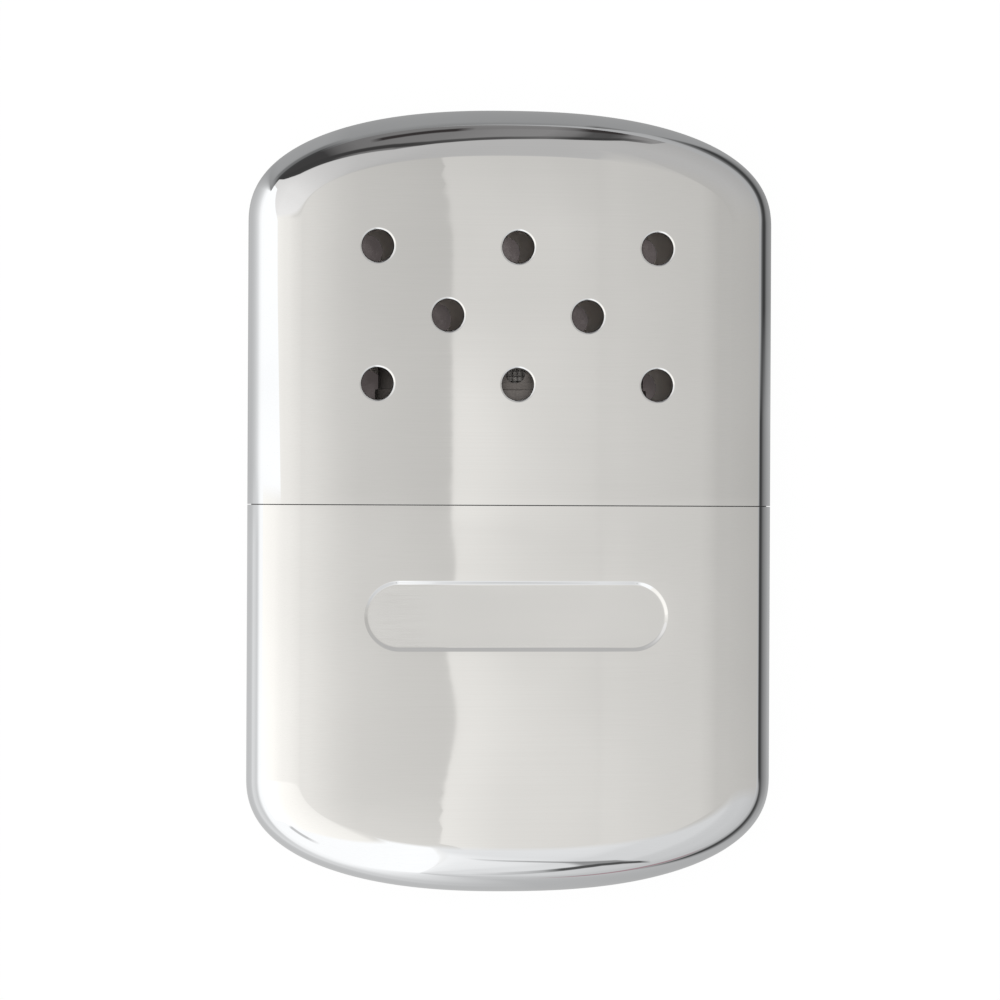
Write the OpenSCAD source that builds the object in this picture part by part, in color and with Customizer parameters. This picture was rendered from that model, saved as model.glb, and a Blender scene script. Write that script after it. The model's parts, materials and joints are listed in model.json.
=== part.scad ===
// Catalytic hand warmer: a refillable pocket heater made of two drawn, chromed shells.
// It lies on its back. X runs across it, +Y runs towards the arch of the lid, and +Z runs up
// through its thickness, with the flat of the back on Z = 0. Sizes are in millimetres.

/* [Case] */
// Width of the case
case_w = 67.5; // [62:0.5:76]
// Length of the closed case, from arch to arch
case_l = 100; // [94:0.5:120]
// Thickness of the closed case down its middle
case_t = 14; // [13.6:0.1:16]
// Thickness of the sheet that both shells are drawn from
wall = 0.4; // [0.3:0.05:0.6]
// Depth of the arch at each end
arch_d = 14.7; // [12:0.1:18]
// Squareness of the arch, where 2 is an ellipse
arch_n = 2.35; // [2:0.05:2.6]
// How far the rounded rim reaches in from the outline
rim_r = 6.3; // [5:0.1:7]
// Half width of the flat strip down the middle of each face
flat_half = 10; // [8:0.5:12]
// How far each face falls between its flat strip and the outline
crown = 1.2; // [0.8:0.1:1.4]

/* [Lid] */
// Length of the lid, from its arch to the seam
lid_l = 50.6; // [47:0.1:56]
// Gap between the closed shells at the seam
seam_gap = 0.1; // [0.05:0.05:0.2]
// Clearance between the lid and the shoulder that it slides on
lid_fit = 0.1; // [0.08:0.01:0.15]

/* [Vents] */
// Diameter of a vent hole
vent_d = 4; // [3:0.1:5]
// Distance between neighbouring vents in a row
vent_pitch = 17.9; // [14:0.1:20]
// Distance between neighbouring rows
vent_row_pitch = 8.7; // [7:0.05:10]
// Distance from the top of the arch to the first row
vent_top = 17.8; // [15:0.1:20]
// Vents in the first row; every other row has one less
vent_columns = 3; // [2:1:3]
// Number of rows
vent_rows = 3; // [1:1:3]

/* [Blank panel] */
// Length of the plain sunk panel on the front of the tank
panel_w = 39; // [24:0.5:44]
// Height of the panel
panel_h = 9; // [6:0.5:12]
// Depth of the panel
panel_d = 0.15; // [0.1:0.05:0.2]
// Distance from the seam to the middle of the panel
panel_drop = 14; // [10:0.1:20]

/* [Shoulder] */
// Thickness of the sheet that the shoulder is drawn from
shoulder_wall = 0.4; // [0.3:0.05:0.6]
// Height of the shoulder above the seam
shoulder_h = 8; // [6:0.5:10]
// How far the shoulder reaches down inside the tank
shoulder_seat = 7; // [5:0.5:10]
// Outer radius of the shoulder's top edge
shoulder_edge_r = 1.5; // [1:0.1:1.8]

/* [Filler neck] */
// Width of the neck
neck_w = 34; // [28:0.5:36]
// Thickness of the neck, across its narrow way
neck_t = 8.4; // [7.6:0.1:8.8]
// Wall of the neck
neck_wall = 0.5; // [0.4:0.05:0.7]
// Height of the neck above the shoulder
neck_h = 5; // [4:0.5:6]
// How far the flange under the shoulder reaches out from the neck
flange_reach = 0.9; // [0.6:0.1:1.1]
// Thickness of the flange
flange_t = 0.5; // [0.4:0.1:0.8]
// Thickness of the punched grid in the neck
grid_t = 0.5; // [0.4:0.1:0.8]
// Diameter of a hole in the grid
grid_hole_d = 2.2; // [1.6:0.1:2.4]
// Distance between neighbouring holes in the grid
grid_pitch = 3.1; // [2.8:0.1:3.4]

/* [Filling] */
// Thickness of the felt pad under the grid
felt_t = 1.5; // [1:0.1:2]
// Clearance of the cotton wadding inside the shoulder
wadding_gap = 0.2; // [0.15:0.05:0.4]
// Clearance of the felt and of the catalyst mat inside their metal
soft_fit = 0.1; // [0.05:0.05:0.2]

/* [Burner] */
// Wall of the band that slips over the neck
band_wall = 0.4; // [0.3:0.05:0.5]
// Height of the band
band_h = 6.6; // [6:0.1:8]
// Clearance between the band and the neck
band_fit = 0.08; // [0.05:0.01:0.1]
// Gap under the burner when it is down on the shoulder
band_seat = 0.2; // [0.1:0.05:0.3]
// Height of the rolled bead at the foot of the band
bead_h = 0.9; // [0.6:0.1:1.2]
// How far the bead stands out from the band
bead_reach = 0.35; // [0.2:0.05:0.5]
// Wall of the hood
hood_wall = 0.35; // [0.25:0.05:0.5]
// Height of the hood, with the skirt that is inside the band
hood_h = 8.2; // [7:0.1:10]
// Outer radius of the hood's rounded top edge
hood_edge_r = 3; // [2:0.1:3.4]
// Gap between the top of the neck and the tray above it
tray_gap = 0.5; // [0.3:0.1:0.7]
// Thickness of the tray that the mat lies on
tray_t = 0.4; // [0.3:0.1:0.6]
// Wall of the gauze lining
gauze_t = 0.2; // [0.15:0.05:0.3]
// Number of windows along each side of the hood
window_count = 7; // [5:1:8]
// Width of a window
window_w = 2.6; // [2:0.1:3]
// Distance between neighbouring windows
window_pitch = 3.9; // [3.4:0.1:4]
// Height of the plain metal between the band and the windows
window_sill = 0.8; // [0.6:0.1:1.2]
// Half width of the spine left between the windows, over the top
spine_half = 1.1; // [0.8:0.1:1.5]

/* [Smoothness] */
// Steps along the arch of each end
arch_steps = 36; // [24:4:40]
// Steps from the edge of the case to where its face begins
rim_steps = 7; // [4:1:8]
// Steps round the shoulder's top edge
edge_steps = 4; // [3:1:6]

/* [Hidden] */
$fn = 64;
// Overrun of a cutter past the face that it cuts
past = 1;
// Lines that cross the case, as places along Y
half_l = case_l / 2;
straight_half = half_l - arch_d;
seam_y = half_l - lid_l;
shoulder_foot_y = seam_y - shoulder_seat;
shoulder_edge_y = seam_y + shoulder_h - shoulder_edge_r;
shoulder_top_y = seam_y + shoulder_h;
flange_y = shoulder_top_y - shoulder_wall - flange_t;
grid_y = flange_y + felt_t;
neck_top_y = shoulder_top_y + neck_h;
band_y = shoulder_top_y + band_seat;
band_top_y = band_y + band_h;
hood_y = neck_top_y + tray_gap;
// Insets of the surfaces that nest inside the case
shoulder_inset = wall + lid_fit;
wadding_inset = shoulder_inset + shoulder_wall + wadding_gap;
wadding_layer = (case_t - 2 * wadding_inset) / 3;
// Widths and thicknesses of the burner's pieces, each over or inside the one before it
neck_bore = -2 * neck_wall;
band_inner = 2 * band_fit;
band_outer = band_inner + 2 * band_wall;
hood_inner = band_inner - 2 * hood_wall;
gauze_inner = hood_inner - 2 * gauze_t;
mat_outer = gauze_inner - 2 * soft_fit;

// Half thickness of the case at a place across it, for a surface that lies inset from the outside
function half_t(x, inset) =
    case_t / 2 - inset - crown * pow(max(0, abs(x) - flat_half) / (case_w / 2 - flat_half), 2);

// How far in from the outline rim step k lies
function rim_depth(k, inset) = inset + (rim_r - inset) * (1 - cos(90 * k / rim_steps));

// Outline of the case drawn in by a depth, as two arches with straight sides between them
function outline(depth) =
    let (
        half_w = case_w / 2 - depth,
        rise = arch_d - depth,
        arch = [
            for (i = [0:arch_steps])
                let (turn = 180 * i / arch_steps, c = cos(turn), s = sin(turn))
                    [
                        half_w * sign(c) * pow(abs(c), 2 / arch_n),
                        straight_half + rise * pow(abs(s), 2 / arch_n)
                    ]
        ]
    )
    concat(arch, -arch);

// Outline at rim step k, lifted to its height: k runs from the back's edge, over 0, to the front's
function rim_ring(k, inset) = [
    for (p = outline(rim_depth(abs(k), inset)))
        [p[0], p[1], half_t(p[0], inset) * sin(90 * k / rim_steps)]
];

// Cross-section between the arches, as points across and through the case
function section(inset) =
    let (
        side = [
            for (k = [-rim_steps:rim_steps])
                let (x = case_w / 2 - rim_depth(abs(k), inset))
                    [x, half_t(x, inset) * sin(90 * k / rim_steps)]
        ],
        face_ring = outline(rim_r),
        face = [for (i = [1:arch_steps - 1]) let (x = face_ring[i][0]) [x, half_t(x, inset)]]
    )
    concat(side, face, -side, -face);

// Stations of the shoulder's surface: it is seated in the tank, steps in at the seam,
// and turns over the top edge
function shoulder_stations(foot_y, seat_inset, slide_inset, edge_r) = concat(
    [
        [foot_y, seat_inset],
        [seam_y, seat_inset],
        [seam_y, slide_inset]
    ],
    [
        for (i = [0:edge_steps])
            let (turn = 90 * i / edge_steps)
                [shoulder_edge_y + edge_r * sin(turn), slide_inset + edge_r * (1 - cos(turn))]
    ]
);

// Solid skinned over a stack of rings that hold the same number of points, with its own end faces
module skin(rings, ends) {
    n = len(rings[0]);
    sides = [
        for (r = [0:len(rings) - 2])
            for (i = [0:n - 1])
                let (j = (i + 1) % n, low = r * n, high = low + n)
                    each [
                        [low + i, high + j, low + j],
                        [low + i, high + i, high + j]
                    ]
    ];
    polyhedron(points = [for (ring = rings) each ring], faces = concat(sides, ends));
}

// The whole closed case as one solid, inset from the outside; each face is a fan of flat strips
module case_body(inset) {
    n = 2 * (arch_steps + 1);
    top = 2 * rim_steps * n;
    strips = [
        for (i = [0:arch_steps - 1])
            let (a = i, b = i + 1, c = n - 2 - i, d = n - 1 - i)
                each [
                    [a, b, c, d],
                    [top + d, top + c, top + b, top + a]
                ]
    ];
    skin([for (k = [-rim_steps:rim_steps]) rim_ring(k, inset)], strips);
}

// Solid that runs along the case through stations of place and inset
module shoulder_body(stations) {
    n = len(section(0));
    last = (len(stations) - 1) * n;
    rings = [for (s = stations) [for (p = section(s[1])) [-p[0], s[0], p[1]]]];
    skin(rings, [[for (i = [0:n - 1]) i], [for (i = [n - 1:-1:0]) last + i]]);
}

// Everything between two places along the case
module between(from_y, to_y) {
    translate([-case_w, from_y, -case_t])
        cube([2 * case_w, to_y - from_y, 2 * case_t]);
}

// Stands children on a place along the case, with their own Z along Y
module along(y) {
    translate([0, y, 0])
        rotate([-90, 0, 0])
            children();
}

// Flat shape with two straight sides and round ends
module stadium(width, thick) {
    reach = (width - thick) / 2;
    square([2 * reach, thick], center = true);
    for (side = [-1, 1])
        translate([side * reach, 0])
            circle(d = thick);
}

module stadium_prism(width, thick, height) {
    linear_extrude(height)
        stadium(width, thick);
}

// Tube whose wall lies between two growths of the neck's outline
module neck_ring(outer, inner, height) {
    difference() {
        stadium_prism(neck_w + outer, neck_t + outer, height);
        translate([0, 0, -past])
            stadium_prism(neck_w + inner, neck_t + inner, height + 2 * past);
    }
}

// Half of a domed profile: a rectangle whose top outer corner is round
module domed_half(reach, height, corner_r) {
    square([reach - corner_r, height]);
    square([reach, height - corner_r]);
    translate([reach - corner_r, height - corner_r])
        intersection() {
            circle(r = corner_r);
            square(corner_r);
        }
}

// Dome over a growth of the neck's outline
module neck_dome(growth, height, corner_r) {
    half = (neck_t + growth) / 2;
    reach = (neck_w - neck_t) / 2;
    for (side = [0, 180])
        rotate(side)
            translate([reach, 0, 0])
                rotate(-90)
                    rotate_extrude(angle = 180)
                        domed_half(half, height, corner_r);
    rotate([90, 0, 90])
        translate([0, 0, -reach])
            linear_extrude(2 * reach)
                for (side = [0, 1])
                    mirror([side, 0])
                        domed_half(half, height, corner_r);
}

// Holes through both faces of the lid
module vents() {
    for (row = [0:vent_rows - 1]) {
        count = vent_columns - row % 2;
        for (i = [0:count - 1])
            translate([
                (i - (count - 1) / 2) * vent_pitch,
                half_l - vent_top - row * vent_row_pitch,
                -case_t
            ])
                cylinder(h = 2 * case_t, d = vent_d);
    }
}

// Space taken out of the front face for the blank panel, down to its even depth
module panel_recess() {
    difference() {
        translate([0, seam_y - panel_drop, 0])
            stadium_prism(panel_w, panel_h, case_t);
        case_body(panel_d);
    }
}

// Two staggered rows of punched holes along the neck
module grid_holes() {
    columns = floor((neck_w - neck_t) / grid_pitch);
    for (row = [-1, 1])
        for (i = [0:columns - 1])
            translate([(i - (columns - 1) / 2 + row / 4) * grid_pitch, row * grid_pitch / 2, -past])
                cylinder(h = grid_t + 2 * past, d = grid_hole_d);
}

// One window of the hood, open over the rounded top edge as far as the spine
module window() {
    foot = band_top_y - hood_y + window_sill + window_w / 2;
    translate([-window_w / 2, spine_half, foot])
        cube([window_w, neck_t, hood_h]);
    translate([0, spine_half, foot])
        rotate([-90, 0, 0])
            cylinder(h = neck_t, d = window_w);
}

// Half of the hood, pressed from sheet; the other half is its mirror image
module hood_half() {
    difference() {
        neck_dome(band_inner, hood_h, hood_edge_r);
        translate([0, 0, -past])
            neck_dome(hood_inner, hood_h - hood_wall + past, hood_edge_r - hood_wall);
        translate([-neck_w, -2 * neck_t, -past])
            cube([2 * neck_w, 2 * neck_t, hood_h + 2 * past]);
        for (i = [0:window_count - 1])
            translate([(i - (window_count - 1) / 2) * window_pitch, 0, 0])
                window();
    }
}

// One of the three layers of wadding that fill the tank, counted up from the back
module wadding(layer) {
    bottom_z = -case_t / 2 + wadding_inset + layer * wadding_layer;
    intersection() {
        case_body(wadding_inset);
        between(-case_l, flange_y);
        translate([-case_w, -case_l, bottom_z])
            cube([2 * case_w, 2 * case_l, wadding_layer]);
    }
}

// Puts a piece that is built about the middle of the thickness onto the surface it lies on
module lie() {
    translate([0, 0, case_t / 2])
        children();
}

module tank_shell() {
    color([0.84, 0.85, 0.86])
        lie()
            difference() {
                case_body(0);
                case_body(wall);
                panel_recess();
                between(seam_y, case_l);
            }
}

module tank_shoulder() {
    color([0.78, 0.79, 0.80])
        lie()
            difference() {
                shoulder_body(shoulder_stations(
                    shoulder_foot_y, wall, shoulder_inset, shoulder_edge_r));
                shoulder_body(shoulder_stations(
                    shoulder_foot_y - past,
                    wall + shoulder_wall,
                    shoulder_inset + shoulder_wall,
                    shoulder_edge_r - shoulder_wall));
                along(flange_y)
                    stadium_prism(neck_w, neck_t, shoulder_top_y);
            }
}

module filler_neck() {
    color([0.72, 0.72, 0.70])
        lie()
            along(flange_y) {
                neck_ring(0, neck_bore, neck_top_y - flange_y);
                neck_ring(2 * flange_reach, 0, flange_t);
            }
}

module neck_grid() {
    color([0.62, 0.62, 0.60])
        lie()
            along(grid_y)
                difference() {
                    stadium_prism(neck_w + neck_bore, neck_t + neck_bore, grid_t);
                    grid_holes();
                }
}

module felt_wick() {
    growth = neck_bore - 2 * soft_fit;
    color([0.86, 0.83, 0.76])
        lie()
            along(flange_y)
                stadium_prism(neck_w + growth, neck_t + growth, felt_t);
}

module wadding_back() {
    color([0.95, 0.94, 0.91])
        lie()
            wadding(0);
}

module wadding_core() {
    color([0.93, 0.92, 0.89])
        lie()
            wadding(1);
}

module wadding_front() {
    color([0.96, 0.95, 0.92])
        lie()
            wadding(2);
}

module lid_shell() {
    color([0.86, 0.87, 0.88])
        lie()
            difference() {
                case_body(0);
                case_body(wall);
                between(-case_l, seam_y + seam_gap);
                vents();
            }
}

module burner_band() {
    color([0.42, 0.39, 0.36])
        lie()
            along(band_y) {
                neck_ring(band_outer, band_inner, band_h);
                neck_ring(band_outer + 2 * bead_reach, band_outer, bead_h);
            }
}

module burner_hood_front() {
    color([0.30, 0.28, 0.26])
        lie()
            along(hood_y)
                mirror([0, 1, 0])
                    hood_half();
}

module burner_hood_back() {
    color([0.28, 0.26, 0.24])
        lie()
            along(hood_y)
                hood_half();
}

module burner_gauze() {
    inner_h = hood_h - hood_wall - tray_t;
    color([0.16, 0.15, 0.15])
        lie()
            along(hood_y + tray_t)
                difference() {
                    neck_dome(hood_inner, inner_h, hood_edge_r - hood_wall);
                    translate([0, 0, -past])
                        neck_dome(gauze_inner, inner_h - gauze_t + past, hood_edge_r - hood_wall - gauze_t);
                }
}

module catalyst_mat() {
    color([0.34, 0.33, 0.32])
        lie()
            along(hood_y + tray_t)
                neck_dome(
                    mat_outer,
                    hood_h - hood_wall - tray_t - gauze_t - soft_fit,
                    hood_edge_r - hood_wall - gauze_t - soft_fit);
}

module mat_tray() {
    color([0.64, 0.64, 0.62])
        lie()
            along(hood_y)
                difference() {
                    stadium_prism(neck_w + hood_inner, neck_t + hood_inner, tray_t);
                    for (i = [0:window_count - 1])
                        translate([(i - (window_count - 1) / 2) * window_pitch, 0, -past])
                            cylinder(h = tray_t + 2 * past, d = window_w);
                }
}

tank_shell();
tank_shoulder();
filler_neck();
neck_grid();
felt_wick();
wadding_back();
wadding_core();
wadding_front();
lid_shell();
burner_band();
burner_hood_front();
burner_hood_back();
burner_gauze();
catalyst_mat();
mat_tray();
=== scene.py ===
"""Looks of a flat, chrome-plated catalytic pocket warmer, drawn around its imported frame.

The case's two shells, the drawn parts inside them and the soft filling are fine meshes built here on
the frame's own sizes. The pressed hood, tray and grid are the frame's own meshes with eased edges.
Lengths are millimetres about the middle of the case's thickness until a mesh is made.
"""

import json
import math

import bmesh
import bpy
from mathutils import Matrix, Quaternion, Vector, kdtree, noise
from mathutils.geometry import delaunay_2d_cdt


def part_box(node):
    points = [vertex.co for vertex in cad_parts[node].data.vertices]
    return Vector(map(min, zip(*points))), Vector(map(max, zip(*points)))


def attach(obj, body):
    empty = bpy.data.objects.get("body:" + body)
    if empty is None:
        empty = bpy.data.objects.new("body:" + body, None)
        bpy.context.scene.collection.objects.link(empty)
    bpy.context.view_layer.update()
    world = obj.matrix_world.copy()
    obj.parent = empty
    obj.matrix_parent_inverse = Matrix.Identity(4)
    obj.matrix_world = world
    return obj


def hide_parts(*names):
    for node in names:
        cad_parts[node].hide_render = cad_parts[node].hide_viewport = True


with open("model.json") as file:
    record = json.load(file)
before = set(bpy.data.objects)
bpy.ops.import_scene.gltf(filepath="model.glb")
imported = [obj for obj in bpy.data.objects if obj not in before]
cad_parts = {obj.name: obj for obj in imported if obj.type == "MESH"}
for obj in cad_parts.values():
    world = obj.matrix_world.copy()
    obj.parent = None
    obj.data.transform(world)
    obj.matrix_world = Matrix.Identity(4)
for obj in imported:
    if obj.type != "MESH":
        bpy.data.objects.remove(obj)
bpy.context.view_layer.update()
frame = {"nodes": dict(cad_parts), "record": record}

MM = 0.001
BACK, FRONT = -1, 1

# ---- sizes


def box_mm(node):
    """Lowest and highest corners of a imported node, in millimetres."""
    return [Vector(corner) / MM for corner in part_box(node)]


LID_LOW, LID_HIGH = box_mm("lid_shell")
TANK_LOW, TANK_HIGH = box_mm("tank_shell")
SHOULDER_LOW, SHOULDER_HIGH = box_mm("tank_shoulder")
NECK_LOW, NECK_HIGH = box_mm("filler_neck")
BAND_LOW, BAND_HIGH = box_mm("burner_band")
GAUZE_LOW, GAUZE_HIGH = box_mm("burner_gauze")
MAT_LOW, MAT_HIGH = box_mm("catalyst_mat")
WICK_LOW, WICK_HIGH = box_mm("felt_wick")

HALF_W = LID_HIGH.x
HALF_L = LID_HIGH.y
HALF_T = LID_HIGH.z / 2
MIDDLE = Vector((0, 0, HALF_T))

# The case: its sheet, its arched outline, its rolled rim, its faint crown and the hem at the seam
WALL = 0.4
ARCH_D = 14.7
ARCH_N = 2.35
RIM_R = 6.3
FLAT_HALF = 10.0
CROWN = 1.2
STRAIGHT_HALF = HALF_L - ARCH_D
HEM_R = 0.02

# The sheet's unevenness: slopes of a twist at both ends and a wave by the seam, heights of the rest
TWIST = 0.0024
TWIST_REACH = 16.0
WAVE = 0.0006
DAPPLE = 0.0011
SUNK = 0.042

# Round vents through both faces of the lid
VENT_R = 2.0
VENT_LIP = 0.32
VENT_PITCH = 17.9
VENT_ROW_PITCH = 8.7
VENT_TOP = 17.8
VENT_ROWS = (3, 2, 3)

# Blank panel pressed into the tank's front
PANEL_REACH = 15.0
PANEL_R = 4.5
PANEL_D = 0.15
PANEL_BEVEL = 0.55
PANEL_Y = TANK_HIGH.y - 14.0

# The shoulder that the lid slides over, and the room for the wadding inside it
SHOULDER_WALL = 0.4
SHOULDER_INSET = WALL + 0.1
SHOULDER_EDGE_R = 1.5
SHOULDER_STEP = 0.05
WADDING_INSET = SHOULDER_INSET + SHOULDER_WALL + 0.25
WADDING_EDGE = 3.0

# The oval neck and the burner, whose outlines lie outside the neck's own
NECK_REACH = 12.8
NECK_R = 4.2
NECK_WALL = 0.5
FLANGE_T = 0.5
BAND_FIT = 0.08
BAND_T = 0.35
BEAD_H = 0.9
RIB_D = 0.12
RIB_HALF = 0.35
RIB_PLACES = (3.2, 4.6)
HOOD_EDGE_R = 3.0
HOOD_WALL = 0.35
GAUZE_T = 0.2
WIRE_R = 0.048
WIRE_PITCH = 0.62
WIRE_SWING = 0.045

# Share of the way to a dome's or a pad's middle line that its last ring reaches
TOP_SHARE = 0.98

# How finely the meshes are cut
RIM_STEPS = 18
ARCH_STEPS = 150
SIDE_STEP = 1.5
FACE_STEP = 1.3
VENT_STEPS = 72
LIP_STEPS = 7
HEM_STEPS = 5
BEVEL_STEPS = 6
EDGE_STEPS = 8
NECK_STEPS = (64, 40)
NUDGE = 0.01
RIM_TURNS = [90 * k / RIM_STEPS for k in range(-RIM_STEPS, RIM_STEPS + 1)]


# ---- the case's surface

def smooth(value, low, high):
    """Eased step from 0 at low to 1 at high."""
    t = min(max((value - low) / (high - low), 0.0), 1.0)
    return t * t * (3 - 2 * t)


def ripple(x, y):
    """Unevenness of the polished sheet, less than 0.1 mm inward, which bends reflections."""
    turn = TWIST * smooth(abs(y), 30, 48) ** 1.5
    if y < 0:
        turn += WAVE * math.sin((y + 3.3) / 3.1) * smooth(-y, 0, 6)
    twist = -turn * TWIST_REACH * math.sin(min(max(x / TWIST_REACH, -math.pi / 2), math.pi / 2))
    dapple = DAPPLE * math.sin(x / 3.7 + 0.8) * math.sin(y / 4.9 + 0.3)
    return twist + dapple - SUNK


def half_thickness(x, inset):
    """Half the thickness of the case at a place across it, for a surface inset from the outside."""
    beyond = max(0.0, abs(x) - FLAT_HALF) / (HALF_W - FLAT_HALF)
    return HALF_T - inset - CROWN * beyond * beyond


def outline(u, depth):
    """Point of the case's outline drawn in by a depth.

    u is degrees round the arch from 0 to 180, and beyond either end it is millimetres down the side.
    """
    if u < 0:
        return HALF_W - depth, STRAIGHT_HALF + u
    if u > 180:
        return depth - HALF_W, STRAIGHT_HALF - (u - 180)
    c, s = math.cos(math.radians(u)), math.sin(math.radians(u))
    power = 2 / ARCH_N
    x = math.copysign(abs(c) ** power, c) * (HALF_W - depth)
    return x, STRAIGHT_HALF + abs(s) ** power * (ARCH_D - depth)


def crossed(point, a, b):
    """Normal of a surface whose point follows two values."""
    first = point(a + NUDGE, b) - point(a - NUDGE, b)
    second = point(a, b + NUDGE) - point(a, b - NUDGE)
    return first.cross(second).normalized()


class Shell:
    """One drawn half of the case; up is 1 for the lid, whose arch lies at +Y, and -1 for the tank."""

    def __init__(self, up, edge_y):
        self.up = up
        self.edge = edge_y * up
        self.centre = Vector((0, up * (self.edge + 15), 0))

    def rim(self, u, theta, inset):
        """Point of the rolled rim; theta runs from -90 at the back face to 90 at the front."""
        depth = inset + (RIM_R - inset) * (1 - math.cos(math.radians(theta)))
        x, y = outline(u, depth)
        y *= self.up
        lift = half_thickness(x, inset) + ripple(x, y)
        return Vector((x, y, lift * math.sin(math.radians(theta))))

    def rim_normal(self, u, theta, inset):
        """Normal that points out of the case."""
        normal = crossed(lambda u, theta: self.rim(u, theta, inset), u, theta)
        return normal if normal.dot(self.rim(u, theta, inset) - self.centre) > 0 else -normal

    def recess(self, x, y, side, inset):
        """Depth of the blank panel at a place on the tank's front."""
        if self.up > 0 or side == BACK or inset:
            return 0.0
        edge = math.hypot(max(abs(x) - PANEL_REACH, 0.0), y - PANEL_Y) - PANEL_R
        return PANEL_D * smooth(-edge, 0, PANEL_BEVEL)

    def face(self, x, y, side, inset):
        """Point of the front or back face."""
        lift = half_thickness(x, inset) + ripple(x, y) - self.recess(x, y, side, inset)
        return Vector((x, y, side * lift))

    def face_normal(self, x, y, side, inset):
        """Normal that points out of the case."""
        normal = crossed(lambda x, y: self.face(x, y, side, inset), x, y)
        return normal if normal.z * side > 0 else -normal

    def stations(self):
        """Values of u from the right side's foot, over the arch, to the left side's foot."""
        length = STRAIGHT_HALF - (self.edge + HEM_R)
        steps = round(length / SIDE_STEP)
        side = [length * i / steps for i in range(1, steps + 1)]
        arch = [180 * i / ARCH_STEPS for i in range(ARCH_STEPS + 1)]
        return [-s for s in reversed(side)] + arch + [180 + s for s in side]

    def hem_places(self):
        """Places across the face at which its points by the seam lie, from left to right."""
        reach = HALF_W - RIM_R
        steps = round(2 * reach / FACE_STEP)
        return [reach * (2 * i / steps - 1) for i in range(1, steps)]

    def section(self, inset, y):
        """Closed ring across the case, as pairs of point and outward normal."""
        def rolled(u, turns):
            return [(self.rim(u, t, inset), self.rim_normal(u, t, inset)) for t in turns]

        def flat(side, places):
            at = [(x, y, side, inset) for x in places]
            return [(self.face(*a), self.face_normal(*a)) for a in at]

        local = y * self.up
        places = self.hem_places()
        right = rolled(local - STRAIGHT_HALF, RIM_TURNS)
        left = rolled(180 + STRAIGHT_HALF - local, RIM_TURNS[::-1])
        return right + flat(FRONT, places[::-1]) + left + flat(BACK, places)


# ---- meshes

def placed(name, data):
    """New object, linked into the scene."""
    thing = bpy.data.objects.new(name, data)
    bpy.context.scene.collection.objects.link(thing)
    return thing


class Skin:
    """Points, normals and faces of one piece, gathered patch by patch and joined where they meet."""

    def __init__(self):
        self.points, self.normals, self.faces, self.slots = [], [], [], []

    def patch(self, points, normals, faces, slot=0):
        """Adds faces that index into their own points."""
        start = len(self.points)
        self.points.extend(points)
        self.normals.extend(normals)
        self.faces.extend([start + i for i in face] for face in faces)
        self.slots.extend([slot] * len(faces))

    def rows(self, rows, closed=True, slot=0):
        """Quads between rows, each a list of pairs of point and normal."""
        count = len(rows[0])
        faces = []
        for r in range(len(rows) - 1):
            for i in range(count if closed else count - 1):
                low, j = r * count, (i + 1) % count
                faces.append([low + i, low + j, low + count + j, low + count + i])
        pairs = [pair for row in rows for pair in row]
        self.patch([p for p, n in pairs], [n for p, n in pairs], faces, slot)

    def build(self, name, materials):
        """Mesh object in metres whose faces look the way that their normals point."""
        bm = bmesh.new()
        drawn = bm.loops.layers.float_vector.new("drawn_normal")
        verts = [bm.verts.new((p + MIDDLE) * MM) for p in self.points]
        for face, slot in zip(self.faces, self.slots):
            order = list(face)
            a, b, c = self.points[face[0]], self.points[face[1]], self.points[face[-1]]
            facing = sum((self.normals[i] for i in face), Vector())
            if (b - a).cross(c - a).dot(facing) < 0:
                order.reverse()
            made = bm.faces.new([verts[i] for i in order])
            made.smooth = True
            made.material_index = slot
            for loop, i in zip(made.loops, order):
                loop[drawn] = self.normals[i]
        bmesh.ops.remove_doubles(bm, verts=bm.verts, dist=0.0015 * MM)
        mesh = bpy.data.meshes.new(name)
        bm.to_mesh(mesh)
        bm.free()
        layer = mesh.attributes["drawn_normal"]
        normals = [Vector(item.vector) for item in layer.data]
        mesh.attributes.remove(layer)
        mesh.normals_split_custom_set(normals)
        for material in materials:
            mesh.materials.append(material)
        return placed(name, mesh)


def circle(x, y, radius, steps):
    """Points of a circle, as pairs."""
    turns = [2 * math.pi * i / steps for i in range(steps)]
    return [(x + radius * math.cos(t), y + radius * math.sin(t)) for t in turns]


def stadium(reach, radius, straight_steps, round_steps):
    """Points round two straight sides and two round ends, as pairs, with the outward direction."""
    ring = []
    for end in (1, -1):
        for i in range(round_steps):
            turn = math.pi * (i / round_steps - 0.5)
            dx, dy = end * math.cos(turn), end * math.sin(turn)
            ring.append(((end * reach + radius * dx, radius * dy), (dx, dy)))
        for i in range(straight_steps):
            across = end * reach * (1 - 2 * i / straight_steps)
            ring.append(((across, end * radius), (0.0, float(end))))
    return ring


def gap_to(points):
    """Function that gives how far a place lies from the nearest of some points."""
    tree = kdtree.KDTree(len(points))
    for i, p in enumerate(points):
        tree.insert((p[0], p[1], 0), i)
    tree.balance()
    return lambda x, y: tree.find((x, y, 0))[2]


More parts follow.
